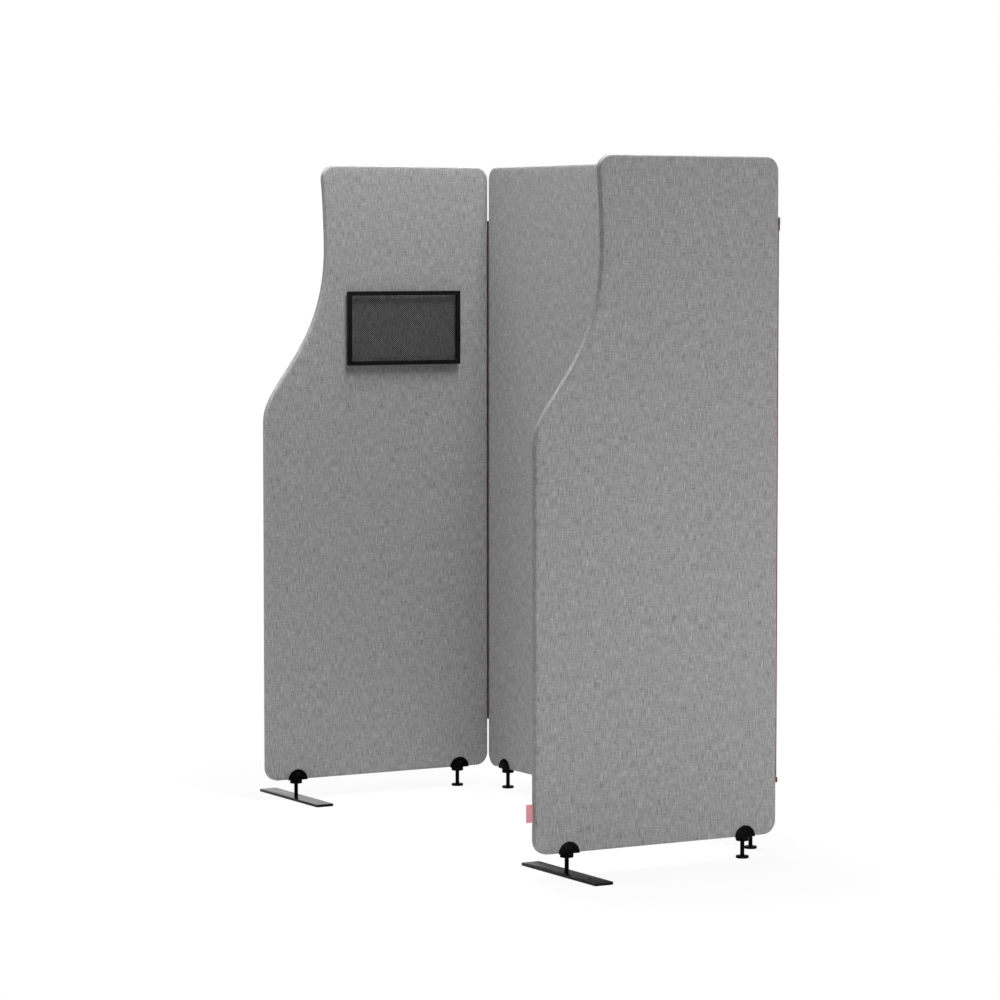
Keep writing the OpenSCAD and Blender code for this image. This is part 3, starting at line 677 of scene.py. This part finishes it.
def teeth_row(name, place, body, start, stands_for=()):
    """One row of teeth: each reaches from the tape's edge over the hinge axis."""
    bm = bmesh.new()
    points = ((-0.9, 0.6), (-0.7, 0.85), (0.1, 0.9), (0.9, 0.8), (1.6, 1.2), (2.5, 1.2), (2.75, 0.6))
    outline = [bm.verts.new((x * MM, y * MM, start)) for x, y in points]
    outline += [bm.verts.new((x * MM, -y * MM, start)) for x, y in reversed(points)]
    bm.faces.new(outline)
    thicken(bm, bm.faces[:], (0, 0, TOOTH_T))
    piece = finished(bm, name, place, body, TEETH, stands_for)
    rows = piece.modifiers.new("row", "ARRAY")
    rows.use_relative_offset = False
    rows.use_constant_offset = True
    rows.constant_offset_displace = (0, 0, TOOTH_PITCH)
    rows.count = int((ZIP_HIGH - start - TOOTH_T) / TOOTH_PITCH) + 1


def shell(bm, low, high, start, stop):
    """A round shell about the teeth from start to stop, in degrees, open elsewhere."""
    turned = Matrix.Rotation(math.radians(start), 4, "Z")
    ends = [bm.verts.new(turned @ Vector((radius, 0, low))) for radius in (SHELL_IN, SHELL_OUT)]
    edge = bm.edges.new(ends)
    before = set(bm.faces)
    bmesh.ops.spin(bm, geom=ends + [edge], cent=(0, 0, 0), axis=(0, 0, 1), angle=math.radians(stop - start),
                   steps=max(8, int((stop - start) / 10)))
    thicken(bm, [f for f in bm.faces if f not in before], (0, 0, high - low))


def slider(name, place, body, start, stop):
    """The slider: its shell, the plate beside it and two lugs that hold the pull's pin."""
    bm = bmesh.new()
    shell(bm, SLIDER_LOW, SLIDER_HIGH, start, stop)
    boxes = [(Vector((PLATE_X[0], PLATE_Y[0], SLIDER_LOW)), Vector((PLATE_X[1], PLATE_Y[1], SLIDER_HIGH)))]
    for x in LUG_X:
        boxes.append((Vector((x, LUG_START, PIN.z - LUG_R)),
                      Vector((x + LUG_T, PIN.y + LUG_R, PIN.z + LUG_R))))
    for low, high in boxes:
        bmesh.ops.create_cube(bm, size=1, matrix=Matrix.Translation((low + high) / 2) @ Matrix.Diagonal(
            (*(high - low), 1)))
    bmesh.ops.recalc_face_normals(bm, faces=bm.faces)
    soften(bm, CAST_EDGE, 2, 50)
    bmesh.ops.create_cone(bm, cap_ends=True, segments=20, radius1=PIN_R, radius2=PIN_R, depth=PIN_L,
                          matrix=Matrix.Translation(PIN) @ Matrix.Rotation(math.pi / 2, 4, "Y"))
    finished(bm, name + "_lacquered", place, body, SLIDER, [name])


def pull(name, place, body):
    """The pull: an eye round the pin and a tapered tongue with a hole."""
    bm = bmesh.new()
    length = PULL_HIGH.z - PULL_LOW.z
    half_outline = [(1.6, 0), (1.7, -4), (3, -8), (3, -24), (1.8, -26.2)]
    outline = [(-x, z) for x, z in half_outline] + half_outline[::-1]
    stretch = (length - EYE_R) / (-half_outline[-1][1] * MM)
    verts = [bm.verts.new((x * MM, -PULL_T / 2, z * MM * stretch)) for x, z in outline]
    rim = [bm.edges.new((verts[i - 1], verts[i])) for i in range(len(verts))]
    hole = bmesh.ops.create_circle(bm, segments=20, radius=PULL_HOLE_R, matrix=Matrix.Translation(
        (0, -PULL_T / 2, PULL_HOLE_Z * stretch)) @ Matrix.Rotation(math.pi / 2, 4, "X"))["verts"]
    ring = list({e for v in hole for e in v.link_edges})
    bmesh.ops.triangle_fill(bm, edges=rim + ring, use_beauty=True)
    bmesh.ops.dissolve_limit(bm, angle_limit=0.01, verts=bm.verts[:], edges=[])
    thicken(bm, bm.faces[:], (0, PULL_T, 0))
    bmesh.ops.recalc_face_normals(bm, faces=bm.faces)
    soften(bm, 0.25 * MM, 2, 50)
    eye = bmesh.new()
    lathe(eye, [(EYE_BORE, -EYE_HALF), (EYE_R, -EYE_HALF), (EYE_R, EYE_HALF), (EYE_BORE, EYE_HALF),
                (EYE_BORE, -EYE_HALF)], 24)
    bmesh.ops.rotate(eye, matrix=Matrix.Rotation(math.pi / 2, 3, "Y"), verts=eye.verts)
    join_in(bm, eye)
    bmesh.ops.translate(bm, vec=PIN, verts=bm.verts)
    finished(bm, name + "_lacquered", place, body, SLIDER, [name])


def whole_zip(name, place, parent, far, tapes, far_angle, shell_angles):
    """A zip between two panels: each tape has its reach, and far_angle turns to the far panel's."""
    away = place @ Matrix.Rotation(math.radians(far_angle), 4, "Z")
    parked = [(ZIP_LOW, ZIP_LOW + BOX_H + PASS), (SLIDER_LOW - PASS, ZIP_HIGH)]
    (near_tape, near_reach), (far_tape, far_reach) = tapes
    zip_tape(near_tape, place, parent, near_reach, [])
    zip_tape(far_tape, away, far, far_reach, parked)
    first = ZIP_LOW + 1 * MM
    teeth_row(name + "_near_teeth", place, parent, first, [name + "_teeth"])
    teeth_row(name + "_far_teeth", away, far, first + TOOTH_PITCH / 2)
    bm = bmesh.new()
    shell(bm, ZIP_LOW, ZIP_LOW + BOX_H, *shell_angles)
    shell(bm, ZIP_HIGH - STOP_H, ZIP_HIGH, *shell_angles)
    bmesh.ops.recalc_face_normals(bm, faces=bm.faces)
    soften(bm, CAST_EDGE, 2, 50)
    finished(bm, name + "_box_and_stop", place, parent, TEETH)
    slider(name + "_slider", place, name + "_slider", *shell_angles)
    pull(name + "_pull", place, name + "_pull")


CORNER_SHELL = (14, 256)
MIDDLE_SHELL = (14, 166)
for side, half_name in ((-1, "left"), (1, "right")):
    whole_zip(f"{half_name}_zip", on_corner(side), f"{half_name}_back", f"{half_name}_wing",
              ((f"{half_name}_zip_back_tape", BACK_GAP), (f"{half_name}_zip_wing_tape", WING_GAP)), -90,
              CORNER_SHELL)
whole_zip("middle_zip", on_middle(), "left_back", "right_back",
          (("middle_zip_left_tape", MIDDLE_GAP), ("middle_zip_right_tape", MIDDLE_GAP)), 180, MIDDLE_SHELL)

# Mesh board: a bevelled rim and a net of fine diamonds, in the wing's frame
RIM_W = 13 * MM
DIAMOND_W = 7.3 * MM
DIAMOND_H = 6.4 * MM
STRAND = 0.45 * MM
BOARD_X = (BACK_Y - WING_GAP - RIM_HIGH.y, BACK_Y - WING_GAP - RIM_LOW.y)
BOARD_Z = (RIM_LOW.z, RIM_HIGH.z)
RIM_Y = (RIM_LOW.x + STEP, RIM_HIGH.x + STEP)
NET_Y = (NET_LOW.x + STEP, NET_HIGH.x + STEP)


def board_rim():
    bm = bmesh.new()
    (left, right), (low, high) = BOARD_X, BOARD_Z
    corners = [bm.verts.new((x, RIM_Y[0], z)) for x, z in (
        (left, low), (right, low), (right, high), (left, high))]
    middle = sum((v.co for v in corners), Vector()) / 4
    bm.faces.new(corners)
    bm.normal_update()
    bmesh.ops.inset_region(bm, faces=bm.faces[:], thickness=RIM_W, use_even_offset=True, use_boundary=True)
    opening = min(bm.faces, key=lambda f: (f.calc_center_median() - middle).length)
    bmesh.ops.delete(bm, geom=[opening], context="FACES")
    thicken(bm, bm.faces[:], (0, RIM_Y[1] - RIM_Y[0], 0))
    bmesh.ops.recalc_face_normals(bm, faces=bm.faces)
    soften(bm, 0.9 * MM, 3, 50)
    finished(bm, "mesh_board_rim_coated", on_wing(-1), "left_wing", RIM_COAT, ["mesh_board_rim"])


def board_net():
    bm = bmesh.new()
    width, height = BOARD_X[1] - BOARD_X[0], BOARD_Z[1] - BOARD_Z[0]
    cells = int(width / DIAMOND_W + height / DIAMOND_H) + 2
    cell = math.sqrt(0.5)
    centre = Vector((sum(BOARD_X) / 2, NET_Y[0], sum(BOARD_Z) / 2))
    shape = (Matrix.Translation(centre) @ Matrix.Rotation(math.pi / 2, 4, "X")
             @ Matrix.Diagonal((DIAMOND_W, DIAMOND_H, 1, 1)) @ Matrix.Rotation(math.pi / 4, 4, "Z"))
    bmesh.ops.create_grid(bm, x_segments=cells, y_segments=cells, size=cells * cell / 2, matrix=shape)
    inside = 2 * MM
    for at, way in (((BOARD_X[0] + inside, 0, 0), (-1, 0, 0)), ((BOARD_X[1] - inside, 0, 0), (1, 0, 0)),
                    ((0, 0, BOARD_Z[0] + inside), (0, 0, -1)), ((0, 0, BOARD_Z[1] - inside), (0, 0, 1))):
        bmesh.ops.bisect_plane(bm, geom=everything(bm), dist=0.01 * MM, plane_co=at, plane_no=way,
                               clear_outer=True)
    bm.normal_update()
    holes = bm.faces[:]
    bmesh.ops.inset_individual(bm, faces=holes, thickness=STRAND / 2, use_even_offset=True)
    bmesh.ops.delete(bm, geom=holes, context="FACES")
    bmesh.ops.recalc_face_normals(bm, faces=bm.faces)
    thicken(bm, bm.faces[:], (0, NET_Y[1] - NET_Y[0], 0))
    finished(bm, "mesh_board_net_coated", on_wing(-1), "left_wing", NET_COAT, ["mesh_board_net"])


board_rim()
board_net()

# Label: a bare textile tab, folded over and sewn into the wing's seam
LABEL_REACH = BACK_Y - LABEL_LOW.y - WING_GAP - PANEL_W
LAYER_GAP = 0.3 * MM
LABEL_T = 0.35 * MM


def label():
    bm = bmesh.new()
    start = PANEL_W - SEAM_DEPTH * 0.8
    turn_x = PANEL_W + LABEL_REACH - LAYER_GAP - LABEL_T / 2
    ways = [(start + (turn_x - start) * i / 8, -LAYER_GAP) for i in range(9)]
    ways += [(turn_x + LAYER_GAP * math.sin(math.radians(a)), -LAYER_GAP * math.cos(math.radians(a)))
             for a in range(30, 180, 30)]
    ways += [(turn_x - (turn_x - start) * i / 8, LAYER_GAP) for i in range(9)]
    low, high = LABEL_LOW.z, LABEL_HIGH.z
    verts = [bm.verts.new((x, y, low)) for x, y in ways]
    line = [bm.edges.new(pair) for pair in zip(verts, verts[1:])]
    rows = 12
    for _ in range(rows):
        made = bmesh.ops.extrude_edge_only(bm, edges=line)["geom"]
        line = of_kind(made, bmesh.types.BMEdge)
        bmesh.ops.translate(bm, vec=(0, 0, (high - low) / rows), verts=of_kind(made, bmesh.types.BMVert))
    bmesh.ops.recalc_face_normals(bm, faces=bm.faces)
    bmesh.ops.solidify(bm, geom=bm.faces[:], thickness=LABEL_T)
    bmesh.ops.translate(bm, vec=(0, -sum(v.co.y for v in bm.verts) / len(bm.verts), 0), verts=bm.verts)
    for v in bm.verts:
        out = (v.co.x - start) / (turn_x - start)
        v.co.y += out * out * (0.9 * MM + 0.5 * MM * math.sin((v.co.z - low) / (high - low) * math.pi))
    piece = finished(bm, "label_tab", on_wing(1), "right_wing", LABEL, ["label"])


label()

# Pieces that keep their own shape get their finish here
KEPT = {"_frame": TIMBER, "_core": FELT, "_padding": WADDING, "_bar_bolt": BLACK_OXIDE,
        "mesh_board_pegs": PEG}
for node_name, piece in frame["nodes"].items():
    for ending, finish in KEPT.items():
        if node_name.endswith(ending):
            piece.data.materials.clear()
            piece.data.materials.append(finish)

# The camera stands where the photograph was taken; its lens is in millimetres on a 36 mm sensor
LENS = 134.449
EYE = Vector((9.4821, -5.5002, 1.7107))
AZIMUTH = math.radians(60.0117)
PITCH = math.radians(3.8715)
camera = bpy.data.objects.new("camera", bpy.data.cameras.new("camera"))
camera.location = EYE
camera.rotation_euler = (math.pi / 2 - PITCH, 0, AZIMUTH)
camera.data.sensor_width = 36
camera.data.lens = LENS
camera.data.clip_end = 200
bpy.context.scene.collection.objects.link(camera)
bpy.context.scene.camera = camera


SOFTBOXES = (
    # Name, place, what it faces, size and power
    ("above", (0, 0.3, 5), (0, 0.3, 0), (4, 1.2), 275),
    ("above_left", (-0.6, -0.3, 5), (-0.4, 0, 0), (3, 3), 54),
    ("above_near", (0, 0.1, 3.4), (0, 0.1, 0), (1.5, 0.8), 20),
    ("left_front", (-3, -6, 3), (0, 0, 1), (3, 3), 16),
    ("left_end", (-0.9, -1.9, 1.5), (-0.3, 0.4, 0.9), (1, 1.5), 12),
    ("right", (7, 1, 1.3), (0.8, 0, 0.6), (3, 2), 82),
    ("right_rear", (5, 5, 4), (0.8, 0, 1), (3, 3), 20),
    ("right_low", (3.2, 0.6, 0.5), (0.83, 0, 0.45), (1.2, 0.6), 17),
)
SKY = 0.12
SHADOW_SHARE = 0.1
SHADOW_REACH = (1.3, 2.6)


def studio():
    """A plain pale floor, a white surround and soft light, most of it from above."""
    bm = bmesh.new()
    bmesh.ops.create_grid(bm, x_segments=1, y_segments=1, size=60)
    mesh = bpy.data.meshes.new("floor")
    bm.to_mesh(mesh)
    bm.free()
    floor = bpy.data.objects.new("floor", mesh)
    bpy.context.scene.collection.objects.link(floor)
    made = bpy.data.materials.new("floor")
    made.use_nodes = True
    made.node_tree.nodes.clear()
    g = Graph(made.node_tree)
    path = g.add("LightPath").outputs
    seen = g.maths("MAXIMUM", g.maths("MAXIMUM", path["Is Camera Ray"], path["Is Glossy Ray"]),
                   path["Is Transmission Ray"])
    paint = g.add("BsdfDiffuse", {"Color": grey(0.85)}).outputs[0]
    white = g.add("Emission", {"Color": grey(1), "Strength": 1.0}).outputs[0]
    place = g.add("TexCoord").outputs["Object"]
    away = g.add("VectorMath", {0: place}, operation="LENGTH").outputs[1]
    near = g.mapped(away, *SHADOW_REACH, SHADOW_SHARE, 0.0)
    share = g.maths("MULTIPLY", seen, g.maths("SUBTRACT", 1.0, near))
    mixed = g.add("MixShader", {0: share, 1: paint, 2: white}).outputs[0]
    g.add("OutputMaterial", {"Surface": mixed})
    mesh.materials.append(made)
    world = bpy.data.worlds.new("surround")
    world.use_nodes = True
    world.node_tree.nodes.clear()
    g = Graph(world.node_tree)
    path = g.add("LightPath").outputs
    seen = g.maths("MAXIMUM", path["Is Camera Ray"], path["Is Transmission Ray"])
    shine = g.maths("MAXIMUM", seen, path["Is Glossy Ray"])
    sky = g.add("Background", {"Color": grey(1), "Strength": SKY}).outputs[0]
    white = g.add("Background", {"Color": grey(1), "Strength": 1.0}).outputs[0]
    g.add("OutputWorld", {"Surface": g.add("MixShader", {0: shine, 1: sky, 2: white}).outputs[0]})
    bpy.context.scene.world = world
    for name, place, target, size, power in SOFTBOXES:
        lamp = bpy.data.lights.new(name, "AREA")
        lamp.shape = "RECTANGLE"
        lamp.size, lamp.size_y = size
        lamp.energy = power
        softbox = bpy.data.objects.new(name, lamp)
        softbox.location = place
        softbox.rotation_euler = (Vector(target) - softbox.location).to_track_quat("-Z", "Y").to_euler()
        softbox.visible_camera = False
        bpy.context.scene.collection.objects.link(softbox)


studio()
bpy.context.scene.view_settings.view_transform = "Standard"
